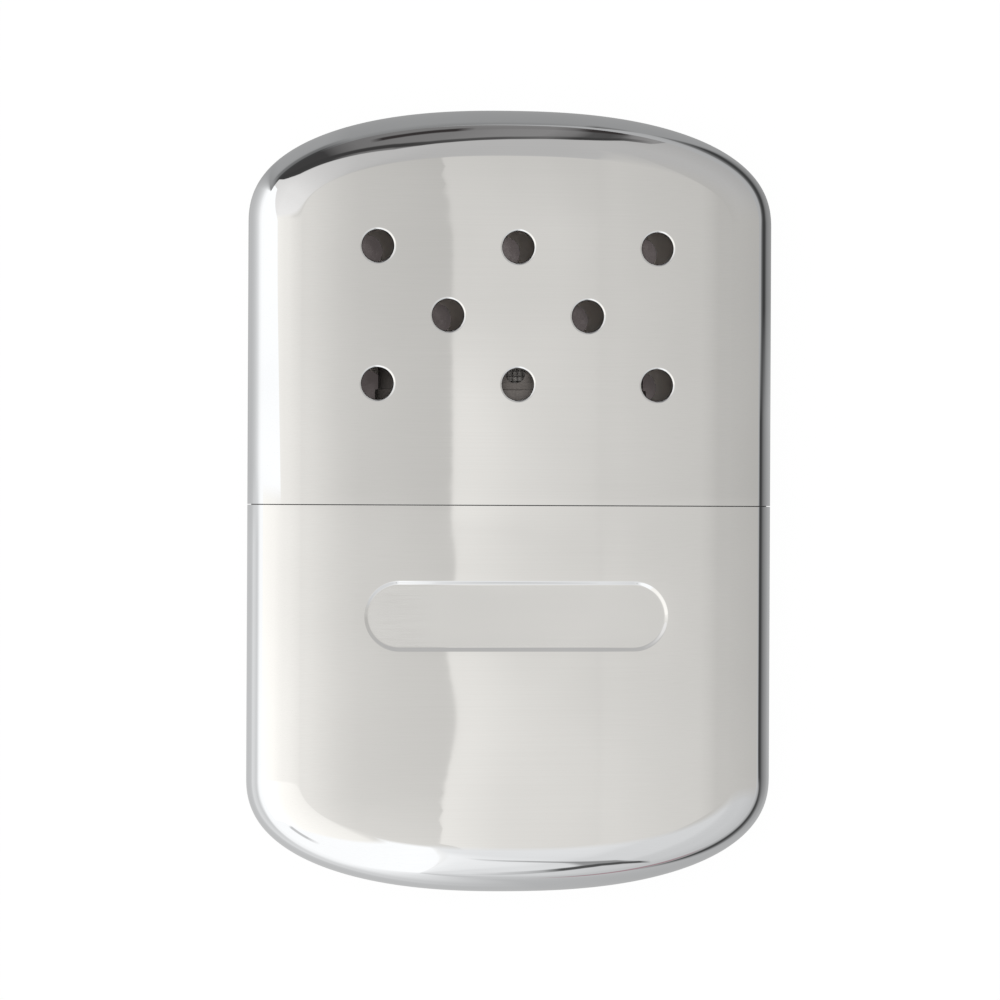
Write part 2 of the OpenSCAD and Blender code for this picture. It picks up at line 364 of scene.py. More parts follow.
def triangulate(border, loops, step, keep=lambda x, y: True, near=0.7):
    """Triangles within a convex border, through loops and an even grid; keep says which ones stay."""
    points, edges = [], []
    for loop in [border] + loops:
        start = len(points)
        points.extend(Vector(p) for p in loop)
        edges.extend((start + i, start + (i + 1) % len(loop)) for i in range(len(loop)))
    gap = gap_to(points)
    low, high = [Vector([pick(p[i] for p in border) for i in (0, 1)]) for pick in (min, max)]
    middle = (low + high) / 2
    sides = [(points[i], points[(i + 1) % len(border)]) for i in range(len(border))]

    def inside(p):
        return all((b - a).cross(p - a) * (b - a).cross(middle - a) >= 0 for a, b in sides)

    row_step = step * math.sqrt(3) / 2
    for row in range(int((high.y - low.y) / row_step) + 1):
        for column in range(int((high.x - low.x) / step) + 1):
            p = Vector((low.x + (column + 0.5 * (row % 2)) * step, low.y + row * row_step))
            if gap(p.x, p.y) >= near * step and inside(p):
                points.append(p)
    within_edges = 1
    verts, _, faces, *_ = delaunay_2d_cdt(points, edges, [], within_edges, 1e-5)
    middles = [sum((verts[i] for i in face), Vector((0, 0))) / len(face) for face in faces]
    return verts, [list(face) for face, at in zip(faces, middles) if keep(at.x, at.y)]


# ---- the drawn case

def vent_centres():
    """Centres of the vents, row by row from the arch."""
    for row, count in enumerate(VENT_ROWS):
        for i in range(count):
            yield (i - (count - 1) / 2) * VENT_PITCH, HALF_L - VENT_TOP - row * VENT_ROW_PITCH


def add_face(skin, shell, side, inset, vents, slot):
    """Front or back face of a shell, with its holes and the bevel of its panel."""
    border = [shell.rim(u, 90, inset).xy for u in shell.stations()]
    edge_y = shell.up * (shell.edge + HEM_R)
    border += [(x, edge_y) for x in shell.hem_places()]
    hole_r = VENT_R if inset else VENT_R + VENT_LIP
    loops = [circle(x, y, hole_r, VENT_STEPS) for x, y in vents]
    if shell.up < 0 and side == FRONT and not inset:
        for i in range(BEVEL_STEPS + 1):
            ring = stadium(PANEL_REACH, PANEL_R - PANEL_BEVEL * i / BEVEL_STEPS, 44, 32)
            loops.append([(p[0], p[1] + PANEL_Y) for p, out in ring])

    def keep(x, y):
        return all(math.hypot(x - vx, y - vy) > hole_r for vx, vy in vents)

    verts, faces = triangulate(border, loops, FACE_STEP, keep)
    points = [shell.face(v.x, v.y, side, inset) for v in verts]
    turn = -1 if inset else 1
    normals = [turn * shell.face_normal(v.x, v.y, side, inset) for v in verts]
    skin.patch(points, normals, faces, slot)


def add_vent(skin, shell, side, x, y):
    """Rounded lip and wall of one hole."""
    lip = []
    for j in range(LIP_STEPS + 1):
        turn = math.pi / 2 * j / LIP_STEPS
        radius = VENT_R + VENT_LIP * (1 - math.sin(turn))
        sink = Vector((0, 0, side * VENT_LIP * (1 - math.cos(turn))))
        row = []
        for px, py in circle(x, y, radius, VENT_STEPS):
            inward = Vector((x - px, y - py, 0)).normalized()
            up = shell.face_normal(px, py, side, 0)
            normal = (math.cos(turn) * up + math.sin(turn) * inward).normalized()
            row.append((shell.face(px, py, side, 0) - sink, normal))
        lip.append(row)
    foot = [shell.face(px, py, side, WALL) for px, py in circle(x, y, VENT_R, VENT_STEPS)]
    skin.rows(lip)
    skin.rows([
        [(p, Vector((x - p.x, y - p.y, 0)).normalized()) for p in ring]
        for ring in ([p for p, n in lip[-1]], foot)
    ])


def shell_skin(name, up, edge_y, vents, materials):
    """One half of the case as a thin closed skin with a rounded hem at the seam."""
    shell = Shell(up, edge_y)
    skin = Skin()
    for inset, turn, slot in ((0, 1, 0), (WALL, -1, 1)):
        skin.rows([
            [(shell.rim(u, t, inset), turn * shell.rim_normal(u, t, inset)) for u in shell.stations()]
            for t in RIM_TURNS
        ], closed=False, slot=slot)
        for side in (BACK, FRONT):
            add_face(skin, shell, side, inset, vents, slot)
    for side in (BACK, FRONT):
        for x, y in vents:
            add_vent(skin, shell, side, x, y)
    down = Vector((0, -up, 0))
    hem = []
    for corner in (0, 1):
        for j in range(HEM_STEPS + 1):
            turn = math.pi / 2 * (corner + j / HEM_STEPS)
            inset = corner * (WALL - 2 * HEM_R) + HEM_R * (1 - math.cos(turn))
            ring = shell.section(inset, up * (shell.edge + HEM_R * (1 - math.sin(turn))))
            c, s = math.cos(turn), math.sin(turn)
            hem.append([(p, (c * n + s * down).normalized()) for p, n in ring])
    skin.rows(hem)
    return skin.build(name, materials)


def shoulder_skin(name, materials):
    """The drawn collar and deck that close the tank, with the hole that the neck stands in."""
    shell = Shell(-1, SHOULDER_HIGH.y)
    foot, seam = SHOULDER_LOW.y, TANK_HIGH.y
    edge_y = SHOULDER_HIGH.y - SHOULDER_EDGE_R
    inner_inset = SHOULDER_INSET + SHOULDER_WALL

    def ring(inset, y, along=0, out=1):
        """Section of the case whose normals lean along the case."""
        lean = Vector((0, along, 0))
        return [(p, (lean + out * n).normalized()) for p, n in shell.section(inset, y)]

    def bent(inset, radius, sign):
        """Rings round the edge between the collar and the deck."""
        rings = []
        for i in range(EDGE_STEPS + 1):
            turn = math.pi / 2 * i / EDGE_STEPS
            s, c = math.sin(turn), math.cos(turn)
            rings.append(ring(inset + radius * (1 - c), edge_y + radius * s, sign * s, sign * c))
        return rings

    outer = [
        ring(WALL, foot),
        ring(WALL, seam - SHOULDER_STEP),
        ring(WALL, seam, 0.7, 0.7),
        ring(SHOULDER_INSET, seam + SHOULDER_STEP, 0.4, 0.9),
    ]
    outer += [ring(SHOULDER_INSET, seam + (edge_y - seam) * i / 4) for i in range(1, 4)]
    outer += bent(SHOULDER_INSET, SHOULDER_EDGE_R, 1)
    inner = [
        ring(WALL + SHOULDER_WALL, foot, out=-1),
        ring(WALL + SHOULDER_WALL, seam - SHOULDER_STEP, out=-1),
        ring(inner_inset, seam + SHOULDER_STEP, out=-1),
    ]
    inner += bent(inner_inset, SHOULDER_EDGE_R - SHOULDER_WALL, -1)
    skin = Skin()
    skin.rows(outer)
    skin.rows(inner, slot=1)
    skin.rows([[(p, Vector((0, -1, 0))) for p, n in rows[0]] for rows in (outer, inner)])
    hole = [p for p, out in stadium(NECK_REACH, NECK_R, *NECK_STEPS)]
    for rows, facing, slot in ((outer, 1, 0), (inner, -1, 1)):
        verts, faces = triangulate(
            [(p.x, p.z) for p, n in rows[-1]],
            [hole],
            FACE_STEP,
            lambda x, z: math.hypot(max(abs(x) - NECK_REACH, 0), z) > NECK_R - NUDGE,
        )
        deck_y = rows[-1][0][0].y
        points = [Vector((v.x, deck_y, v.y)) for v in verts]
        skin.patch(points, [Vector((0, facing, 0))] * len(points), faces, slot)
    flat = Vector((1, 0))
    skin.rows([
        [(p, -n) for p, n in oval(0, rows[-1][0][0].y, flat, NECK_STEPS)] for rows in (outer, inner)
    ])
    return skin.build(name, materials)


# ---- swept and domed parts

def oval(offset, y, normal, steps):
    """Ring round the neck's outline, as pairs of point and normal, from one place of a profile."""
    return [
        (
            Vector((p[0], y, p[1])),
            Vector((out[0] * normal.x, normal.y, out[1] * normal.x)).normalized(),
        )
        for p, out in stadium(NECK_REACH, NECK_R + offset, *steps)
    ]


def rounded(corners, steps):
    """Closed profile of (place, normal) that rounds (offset, place, radius) corners, turning left."""
    profile = []
    for i, (o, y, radius) in enumerate(corners):
        here = Vector((o, y))
        before = (here - Vector(corners[i - 1][:2])).normalized()
        after = (Vector(corners[(i + 1) % len(corners)][:2]) - here).normalized()
        normal_in, normal_out = [Vector((along.y, -along.x)) for along in (before, after)]
        turn = math.atan2(before.cross(after), before.dot(after))
        bend = math.copysign(radius, turn)
        centre = here - before * radius * math.tan(abs(turn) / 2) - normal_in * bend
        for k in range(steps + 1):
            part = abs(turn) * k / steps
            normal = normal_in * math.sin(abs(turn) - part) + normal_out * math.sin(part)
            normal.normalize()
            profile.append((centre + normal * bend, normal))
    return profile


def swept(name, profile, materials):
    """Closed profile of offset and place carried round the neck's outline."""
    skin = Skin()
    skin.rows([oval(at.x, at.y, normal, NECK_STEPS) for at, normal in profile + profile[:1]])
    return skin.build(name, materials)


def dome_path(offset, low, high, edge_r, step):
    """Stations up the side of a dome, round its edge and in over its top: (offset, place, normal)."""
    side = high - edge_r - low
    count = max(2, round(side / step))
    path = [(offset, low + side * i / count, Vector((1, 0))) for i in range(count)]
    count = max(3, round(edge_r * math.pi / 2 / step))
    for i in range(count + 1):
        turn = math.pi / 2 * i / count
        normal = Vector((math.cos(turn), math.sin(turn)))
        path.append((offset - edge_r * (1 - normal.x), high - edge_r * (1 - normal.y), normal))
    flat = NECK_R + offset - edge_r
    count = max(1, round(flat / step))
    return path + [
        (offset - edge_r - flat * i / count * TOP_SHARE, high, Vector((0, 1)))
        for i in range(1, count + 1)
    ]


def tube(skin, path, normals, closed, sides=5):
    """Wire along a path, with the surface normal at each point to steady it."""
    rows = []
    count = len(path)
    for i, p in enumerate(path):
        ahead = path[(i + 1) % count] if closed or i + 1 < count else p
        behind = path[i - 1] if closed or i > 0 else p
        along = (ahead - behind).normalized()
        across = along.cross(normals[i]).normalized()
        lift = across.cross(along)
        turns = [2 * math.pi * k / sides for k in range(sides)]
        outs = [across * math.cos(turn) + lift * math.sin(turn) for turn in turns]
        rows.append([(p + out * WIRE_R, out) for out in outs])
    if closed:
        rows.append(rows[0])
    skin.rows(rows)
    if not closed:
        for row, facing in ((rows[0], path[0] - path[1]), (rows[-1], path[-1] - path[-2])):
            skin.patch([p for p, n in row], [facing.normalized()] * sides, [list(range(sides))])


def gauze_weave(name, materials):
    """Woven wire dome: wires over and under each other up the sides, over the edge and along it."""
    offset = GAUZE_HIGH.x - NECK_REACH - NECK_R - GAUZE_T / 2
    low, high = GAUZE_LOW.y + WIRE_R, GAUZE_HIGH.y - GAUZE_T / 2
    edge_r = HOOD_EDGE_R - HOOD_WALL - GAUZE_T / 2
    half_pitch = WIRE_PITCH / 2
    straight = round(2 * NECK_REACH / WIRE_PITCH)
    bend = round(math.pi * (NECK_R + offset) / WIRE_PITCH)
    path = dome_path(offset, low, high, edge_r, half_pitch)
    rings = [oval(*station, (2 * straight, 2 * bend)) for station in path]
    over_top = max(1, round((NECK_R + offset - edge_r) / half_pitch))
    skin = Skin()

    def wire(places, closed):
        """Wire through (point, normal, swing) places, where a swing of 1 is out and -1 is in."""
        points = [p + n * WIRE_SWING * swing for p, n, swing in places]
        tube(skin, points, [n for p, n, swing in places], closed)

    for w in range(2 * (straight + bend)):
        on_end = abs(rings[0][2 * w][0].x) > NECK_REACH + NUDGE
        stop = len(rings) - (over_top if on_end else 0)
        wire([(*rings[s][2 * w], math.cos(math.pi * (s / 2 + w))) for s in range(stop)], closed=False)
    for s in range(0, len(rings), 2):
        places = enumerate(rings[s])
        wire([(*place, -math.cos(math.pi * (s / 2 + i / 2))) for i, place in places], closed=True)
    return skin.build(name, materials)


# ---- soft parts

def lumpy(p, scale, amount, seed):
    """Smooth random inward push at a point."""
    value = noise.noise(p / scale + Vector((seed, 0, 0)))
    return -amount * (0.5 + 0.5 * value)


def softened(piece):
    """Joins coincident points, drops empty faces and lets the surface shade itself."""
    bm = bmesh.new()
    bm.from_mesh(piece.data)
    bmesh.ops.remove_doubles(bm, verts=bm.verts, dist=0.02 * MM)
    bmesh.ops.dissolve_degenerate(bm, edges=bm.edges, dist=0.005 * MM)
    bmesh.ops.recalc_face_normals(bm, faces=bm.faces)
    bm.to_mesh(piece.data)
    bm.free()
    if piece.data.attributes.get("custom_normal"):
        piece.data.attributes.remove(piece.data.attributes["custom_normal"])
    for face in piece.data.polygons:
        face.use_smooth = True
    return piece


def oval_pad(name, rows, materials):
    """Soft pad from oval rings; the slits left by the first and the last are closed."""
    skin = Skin()
    skin.rows(rows)
    for row, facing in ((rows[0], -1), (rows[-1], 1)):
        up = Vector((0, facing, 0))
        middle = [Vector((min(max(p.x, -NECK_REACH), NECK_REACH), p.y, 0)) for p, n in row]
        skin.rows([[(p, up) for p, n in row], [(m, up) for m in middle]])
    return softened(skin.build(name, materials))


def mat_pad(name, materials):
    """Folded glass-fibre mat: a soft dome with a crumpled skin, flat where it lies on the tray."""
    offset = MAT_HIGH.x - NECK_REACH - NECK_R
    low, ease = MAT_LOW.y, 0.35
    flat = NECK_R + offset - 0.4
    stations = [(offset - ease - flat * i / 6, low, Vector((0, -1))) for i in range(6, 0, -1)]
    stations += [
        (offset - ease, low, Vector((0.5, -0.86))),
        (offset - 0.1, low + 0.1, Vector((0.9, -0.4))),
    ]
    stations += dome_path(offset, low + ease, MAT_HIGH.y, 2.4, 0.4)
    rows = []
    for o, y, normal in stations:
        ring = oval(o, y, normal, (90, 36))
        if normal.y > -0.9:
            push = [lumpy(p, 2.6, 0.34, 3.0) + lumpy(p, 0.9, 0.12, 9.0) for p, n in ring]
            ring = [(p + n * amount, n) for (p, n), amount in zip(ring, push)]
        rows.append(ring)
    return oval_pad(name, rows, materials)


def wick_pad(name, materials):
    """Pressed felt pad under the grid, with soft edges."""
    offset = WICK_HIGH.x - NECK_REACH - NECK_R
    low, high = WICK_LOW.y, WICK_HIGH.y
    ease = 0.45
    lower = [(offset - ease, low), (offset - 0.12, low + 0.14), (offset, low + ease)]
    upper = [(offset, high - ease), (offset - 0.12, high - 0.14), (offset - ease, high)]
    across = [-(NECK_R + offset - ease) * i / 8 * TOP_SHARE for i in range(1, 9)]
    stations = [(offset - ease + d, low) for d in reversed(across)] + lower + upper
    stations += [(offset - ease + d, high) for d in across]
    rows = []
    for o, y in stations:
        inward = Vector((0, 1 if y > (low + high) / 2 else -1, 0))
        ring = oval(o, y, Vector((1, 0.2)), (80, 30))
        rows.append([(p + inward * lumpy(p, 1.1, 0.1, 5.0), n) for p, n in ring])
    return oval_pad(name, rows, materials)


def outline_depth(x, y):
    """How far a place lies inside the case's outline."""
    side = HALF_W - abs(x)
    beyond = abs(y) - STRAIGHT_HALF
    if beyond <= 0:
        return side
    low, high = 0.0, min(side, ARCH_D - beyond) - 1e-6
    for _ in range(24):
        depth = (low + high) / 2
        reach = (abs(x) / (HALF_W - depth)) ** ARCH_N + (beyond / (ARCH_D - depth)) ** ARCH_N
        low, high = (depth, high) if reach < 1 else (low, depth)
    return low


def headroom(x, y):
    """Height free above the middle plane, inside the shoulder's collar and under the rolled rim."""
    along = min(max(outline_depth(x, y) - WADDING_INSET, 0) / (RIM_R - WADDING_INSET), 1)
    return half_thickness(x, WADDING_INSET) * math.sqrt(1 - (1 - along) ** 2)


def wadding_pad(name, node, materials):
    """One layer of teased cotton: the tank's outline with round edges and a lumpy surface."""
    low, high = [corner - MIDDLE for corner in box_mm(node)]
    near = max(0.0, low.z, -high.z) + 0.3
    share = near / half_thickness(HALF_W - RIM_R / 4, WADDING_INSET)
    inset = WADDING_INSET + (RIM_R - WADDING_INSET) * (1 - math.sqrt(1 - share * share))
    arch = [outline(2 * i, max(inset, 1.3)) for i in range(91)]
    reach, top_y = arch[0][0], high.y - 0.05
    length = STRAIGHT_HALF + top_y
    border = [(reach, top_y - length * i / 30) for i in range(1, 30)]
    border += [(x, -y) for x, y in arch]
    border += [(-reach, -STRAIGHT_HALF + length * i / 30) for i in range(1, 30)]
    border += [(-reach + 2 * reach * i / 40, top_y) for i in range(1, 40)]
    verts, faces = triangulate(border, [], 1.5)
    gap = gap_to(border)
    skin = Skin()
    for side in (BACK, FRONT):
        points = []
        for v in verts:
            free = headroom(v.x, v.y)
            top, bottom = min(high.z, free), max(low.z, -free)
            ease = min(gap(v.x, v.y) / WADDING_EDGE, 1.0)
            lift = (top - bottom) / 2 * math.sqrt(max(0.0, 1 - (1 - ease) ** 2))
            at = Vector((v.x, v.y, side * 40))
            lift += (lumpy(at, 6.0, 0.5, 2.0) + lumpy(at, 1.8, 0.22, 7.0)) * ease
            points.append(Vector((v.x, v.y, (top + bottom) / 2 + side * max(lift, 0.0))))
        skin.patch(points, [Vector((0, 0, side))] * len(points), faces)
    return softened(skin.build(name, materials))


# ---- materials

class Value:
    """Output of a node, on which sums and products make further nodes."""

    def __init__(self, nodes, socket):
        self.nodes, self.socket = nodes, socket

    def __add__(self, other):
        return self.nodes.math("ADD", self, other)

    def __sub__(self, other):
        return self.nodes.math("SUBTRACT", self, other)

    def __rsub__(self, other):
        return self.nodes.math("SUBTRACT", other, self)

    def __mul__(self, other):
        return self.nodes.math("MULTIPLY", self, other)

    def __truediv__(self, other):
        return self.nodes.math("DIVIDE", self, other)

    def __abs__(self):
        return self.nodes.math("ABSOLUTE", self)

    def span(self, low, high, to_low=0, to_high=1):
        """Value that goes from to_low to to_high between low and high, held beyond both ends."""
        inputs = dict(enumerate((self, low, high, to_low, to_high)))
        return self.nodes.get("MapRange", 0, inputs, clamp=True)

    def profile(self, *stops):
        """Grey that follows the value through (place, grey) stops, held beyond both ends."""
        low, high = stops[0][0], stops[-1][0]
        places = [((place - low) / (high - low), tone) for place, tone in stops]
        return self.nodes.ramp(self.span(low, high), places)

    def line(self, centre, half, soft):
        """Mask of a stripe about a centre, with soft edges."""
        return abs(self - centre).span(half, half + soft, 1, 0)

    def tint(self, other):
        """Product of two colours."""
        return self.nodes.mix(1.0, self, other, "MULTIPLY")


class Nodes:
    """Short calls that add and wire nodes in the tree of a material or a world."""

    def __init__(self, owner):
        owner.use_nodes = True
        self.tree = owner.node_tree
        self.tree.nodes.clear()

    def add(self, kind, inputs=(), **settings):
        """New node, with a constant or a link for each of the inputs that are named."""
        node = self.tree.nodes.new("ShaderNode" + kind)
        for key, value in settings.items():
            setattr(node, key, value)
        for socket, value in dict(inputs).items():
            self.put(value, node.inputs[socket])
        return node

    def get(self, kind, output=0, inputs=(), **settings):
        """One output of a new node."""
        return Value(self, self.add(kind, inputs, **settings).outputs[output])

    def put(self, value, socket):
        """Links a value to an input, or sets a constant on the input itself."""
        if isinstance(value, Value):
            self.tree.links.new(value.socket, socket)
        else:
            socket.default_value = value

    def math(self, operation, *values, clamp=False):
        """Result of one arithmetic operation."""
        inputs = dict(enumerate(values))
        return self.get("Math", 0, inputs, operation=operation, use_clamp=clamp)

    def length(self, a, b):
        """Length of a vector of two parts."""
        return self.math("SQRT", a * a + b * b)

    def angle(self, rise, run):
        """Angle of a slope, in degrees."""
        return self.math("ARCTAN2", rise, run) * (180 / math.pi)

    def parts(self, kind="Object"):
        """Coordinates of the shaded point along X, Y and Z."""
        split = self.add("SeparateXYZ", {"Vector": self.get("TexCoord", kind)})
        return [Value(self, output) for output in split.outputs]

    def ramp(self, value, stops):
        """Colour or grey that follows a value from 0 to 1, through (place, colour or grey) stops."""
        node = self.add("ValToRGB", {"Fac": value})
        elements = node.color_ramp.elements
        while len(elements) < len(stops):
            elements.new(0.5)
        for element, (place, tone) in zip(elements, stops):
            element.position = place
            element.color = (*tone, 1) if isinstance(tone, tuple) else (tone, tone, tone, 1)
        return Value(self, node.outputs["Color"])

    def mix(self, factor, a, b, blend="MIX"):
        """Colour between a, at a factor of 0, and b, at 1."""
        return self.get("Mix", 2, {0: factor, 6: a, 7: b}, data_type="RGBA", blend_type=blend)

    def stretched(self, scale, detail, seed, roughness=0.5):
        """Noise whose grain has its own scale, per millimetre, along each axis."""
        place = self.get("Mapping", 0, {
            "Vector": self.get("TexCoord", "Object"),
            "Location": (seed, seed, seed),
            "Scale": [s / MM for s in scale],
        })
        return self.get("TexNoise", "Fac", {
            "Vector": place, "Scale": 1.0, "Detail": detail, "Roughness": roughness,
        })


def shade(rgb, factor=1.0):
    """RGBA of a colour, made lighter or darker."""
    return (*[min(1.0, c * factor) for c in rgb], 1)


def surface(name, rgb, **constants):
    """Material with a principled shader; constants go on the shader's own sockets."""
    material = bpy.data.materials.new(name)
    nodes = Nodes(material)
    shader = nodes.add("BsdfPrincipled", {"Base Color": shade(rgb)})
    for socket, value in constants.items():
        shader.inputs[socket.replace("_", " ")].default_value = value
    nodes.add("OutputMaterial", {"Surface": Value(nodes, shader.outputs[0])})
    return material, nodes, shader


def dress(nodes, shader, colour, roughness, height, relief_mm):
    """Sets a shader's colour, roughness and fine relief."""
    nodes.put(colour, shader.inputs["Base Color"])
    nodes.put(roughness, shader.inputs["Roughness"])
    relief = {"Strength": 1.0, "Distance": relief_mm * MM, "Height": height}
    nodes.put(nodes.get("Bump", "Normal", relief), shader.inputs["Normal"])


SLOTS = {m["slot"]: tuple(m["base_color"]) for m in frame["record"]["materials"]}


def polished_chrome():
    """Mirror plate: hairline polishing marks along the case, faint haze, and a satin panel."""
    rgb = SLOTS["polished_chrome"]
    material, nodes, shader = surface("polished_chrome", rgb, Metallic=1.0)
    haze = nodes.stretched((0.06, 0.05, 0.08), 2.0, 4.0)
    hair = nodes.stretched((0.05, 9.0, 9.0), 2.0, 2.0)
    tint = nodes.mix(haze.span(0.4, 0.65), shade(rgb, 0.985), shade(rgb, 1.01))
    streaks = nodes.mix(hair.span(0.35, 0.65), shade((1, 1, 1), 0.985), shade((1, 1, 1)))
    x, y, z = nodes.parts()
    across = nodes.math("MAXIMUM", abs(x) - PANEL_REACH * MM, 0.0)
    edge = nodes.length(across, y - PANEL_Y * MM)
    floor_r = (PANEL_R - PANEL_BEVEL) * MM
    front = nodes.math("GREATER_THAN", z, (2 * HALF_T - 1) * MM)
    satin = edge.span(floor_r, floor_r - 0.15 * MM) * front
    polished = haze.span(0.45, 0.75, 0.012, 0.022) + hair * 0.005
    brushed = hair.span(0.3, 0.7, 0.12, 0.24)
    roughness = polished * (1.0 - satin) + brushed * satin
    dress(nodes, shader, tint.tint(streaks), roughness, hair, 0.00003)
    return material


def worn(name, cloud, stops, grain, roughness, relief_mm):
    """Bare metal: a cloudy noise gives its colour, and its grain gives its roughness and relief."""
    material, nodes, shader = surface(name, stops[1][1], Metallic=1.0)
    colour = nodes.ramp(nodes.stretched(*cloud), stops)
    grain = nodes.stretched(*grain)
    dress(nodes, shader, colour, grain.span(0.3, 0.7, *roughness), grain, relief_mm)
    return material


def drawn_inside():
    """Unpolished inner face of the drawn shells: dull, streaked and faintly browned by heat."""
    stops = [(0.3, (0.66, 0.60, 0.57)), (0.55, (0.78, 0.73, 0.70)), (0.8, (0.84, 0.81, 0.78))]
    cloud, grain = ((0.15, 0.12, 0.2), 4.0, 7.0), ((6.0, 0.12, 2.0), 3.0, 1.0)
    return worn("drawn_inside", cloud, stops, grain, (0.34, 0.52), 0.004)


def satin_nickel():
    """Satin plate with fine brushing round the case, and slightly darker patches."""
    rgb = SLOTS["satin_nickel"]
    material, nodes, shader = surface("satin_nickel", rgb, Metallic=1.0)
    brush = nodes.stretched((0.25, 12.0, 0.25), 3.0, 3.0)
    patch = nodes.stretched((0.3, 0.3, 0.3), 4.0, 5.0)
    colour = nodes.mix(patch.span(0.35, 0.7), shade(rgb, 0.88), shade(rgb, 1.04))
    colour = nodes.mix(brush * 0.25, colour, shade(rgb, 0.8))
    dress(nodes, shader, colour, brush.span(0.3, 0.7, 0.2, 0.36), brush, 0.0015)
    return material


def plain_steel():
    """Punched steel sheet: rolled grain along X, dull grey with a few darker stains."""
    rgb = SLOTS["plain_steel"]
    stops = [(0.3, shade(rgb, 0.72)[:3]), (0.6, rgb), (0.85, (0.68, 0.66, 0.62))]
    stain, grain = ((0.5, 0.5, 0.5), 5.0, 12.0), ((0.5, 8.0, 8.0), 4.0, 11.0)
    return worn("plain_steel", stain, stops, grain, (0.28, 0.46), 0.003)


def burner_steel():
    """Pressed stainless sheet: straw and bronze heat tint at the band's foot, and painted shade above
    it that goes near black towards the top.
    """
    rgb = SLOTS["burner_steel"]
    material, nodes, shader = surface("burner_steel", rgb, Metallic=1.0)
    grain = nodes.stretched((7.0, 0.4, 7.0), 3.0, 21.0)
    cloud = nodes.stretched((0.22, 0.3, 0.22), 4.0, 22.0)
    # Painted shade: the colour darkens up the sheet to near black, standing in for the shade inside
    # the lid; the tint at the foot is heat tint.
    rise = nodes.parts()[1].span(BAND_LOW.y * MM, BAND_HIGH.y * MM, 0.1, 0.9)
    heat_and_shade = nodes.math("ADD", rise, cloud.span(0.3, 0.7, -0.14, 0.16), clamp=True)
    colour = nodes.ramp(heat_and_shade, [
        (0.0, (0.56, 0.53, 0.48)),
        (0.3, (0.46, 0.40, 0.32)),
        (0.48, rgb),
        (0.64, (0.22, 0.20, 0.19)),
        (0.8, (0.185, 0.17, 0.162)),
        (1.0, (0.165, 0.15, 0.142)),
    ])
    nodes.put(heat_and_shade.span(0.4, 0.7, 1.0, 0.4), shader.inputs["Metallic"])
    dress(nodes, shader, colour, grain.span(0.3, 0.7, 0.34, 0.52), grain, 0.002)
    return material


def steel_gauze():
    """Fine wire, dark all over as painted shade, with a little bare metal left on it."""
    # Painted shade: the wire's tones stay near black, standing in for the shade inside the lid.
    stops = [(0.3, (0.08, 0.075, 0.075)), (0.58, SLOTS["steel_gauze"]), (0.85, (0.26, 0.24, 0.22))]
    cloud, fine = ((0.35, 0.35, 0.35), 4.0, 31.0), ((6.0, 6.0, 6.0), 2.0, 32.0)
    return worn("steel_gauze", cloud, stops, fine, (0.34, 0.5), 0.002)


def fibrous(name, dark, fibre_mm, relief_mm, seed, sheen):
    """Matted fibres: two crossed stretched noises for strands and a soft one for clumps."""
    rgb = SLOTS[name]
    material, nodes, shader = surface(
        name, rgb, Roughness=0.9, Sheen_Weight=sheen, Sheen_Roughness=0.5)
    grain = 1 / fibre_mm
    strands = nodes.stretched((grain, grain * 0.12, grain * 0.5), 4.0, seed, 0.65)
    crossed = nodes.stretched((grain * 0.12, grain, grain * 0.4), 4.0, seed + 3, 0.65)
    clumps = nodes.stretched((0.4, 0.4, 0.4), 5.0, seed + 6)
    pile = nodes.math("MAXIMUM", strands, crossed)
    fine = nodes.mix(pile.span(0.42, 0.7), shade(dark), shade(rgb, 1.03))
    colour = nodes.mix(clumps.span(0.3, 0.75, 0, 0.35), fine, shade(rgb, 0.86))
    dress(nodes, shader, colour, clumps.span(0.3, 0.7, 0.82, 0.96), pile, relief_mm)
    return material


# ---- the pieces

CHROME = polished_chrome()
INSIDE = drawn_inside()
NICKEL = satin_nickel()
STEEL = plain_steel()
BURNER = burner_steel()
GAUZE = steel_gauze()
FIBRE = fibrous("catalyst_fibre", (0.20, 0.19, 0.18), 0.25, 0.05, 41.0, 0.1)
FELT = fibrous("wick_felt", (0.66, 0.62, 0.54), 0.3, 0.05, 51.0, 0.3)
COTTON = fibrous("cotton_wadding", (0.80, 0.78, 0.74), 0.35, 0.08, 61.0, 0.4)


def finished(piece, body, slot, *nodes):
    """Puts a new piece on its body in place of the nodes that it stands for."""
    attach(piece, body)
    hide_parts(*nodes)
    return piece


def case():
    """Lid and tank."""
    lid = shell_skin("lid_skin", 1, LID_LOW.y, list(vent_centres()), [CHROME, INSIDE])
    finished(lid, "lid", "polished_chrome", "lid_shell")
    tank = shell_skin("tank_skin", -1, TANK_HIGH.y, [], [CHROME, INSIDE])
    finished(tank, "tank", "polished_chrome", "tank_shell")


def tank_fittings():
    """Shoulder, and the neck with its flange and its eased mouth."""
    shoulder = shoulder_skin("shoulder_skin", [NICKEL, INSIDE])
    finished(shoulder, "tank", "satin_nickel", "tank_shoulder")
    flange = NECK_HIGH.x - NECK_REACH - NECK_R
    neck = rounded([
        (-NECK_WALL, NECK_LOW.y, 0.08),
        (flange, NECK_LOW.y, 0.08),
        (flange, NECK_LOW.y + FLANGE_T, 0.08),
        (0, NECK_LOW.y + FLANGE_T, 0.01),
        (0, NECK_HIGH.y, 0.24),
        (-NECK_WALL, NECK_HIGH.y, 0.24),
    ], steps=6)
    finished(swept("neck_tube", neck, [NICKEL]), "tank", "satin_nickel", "filler_neck")


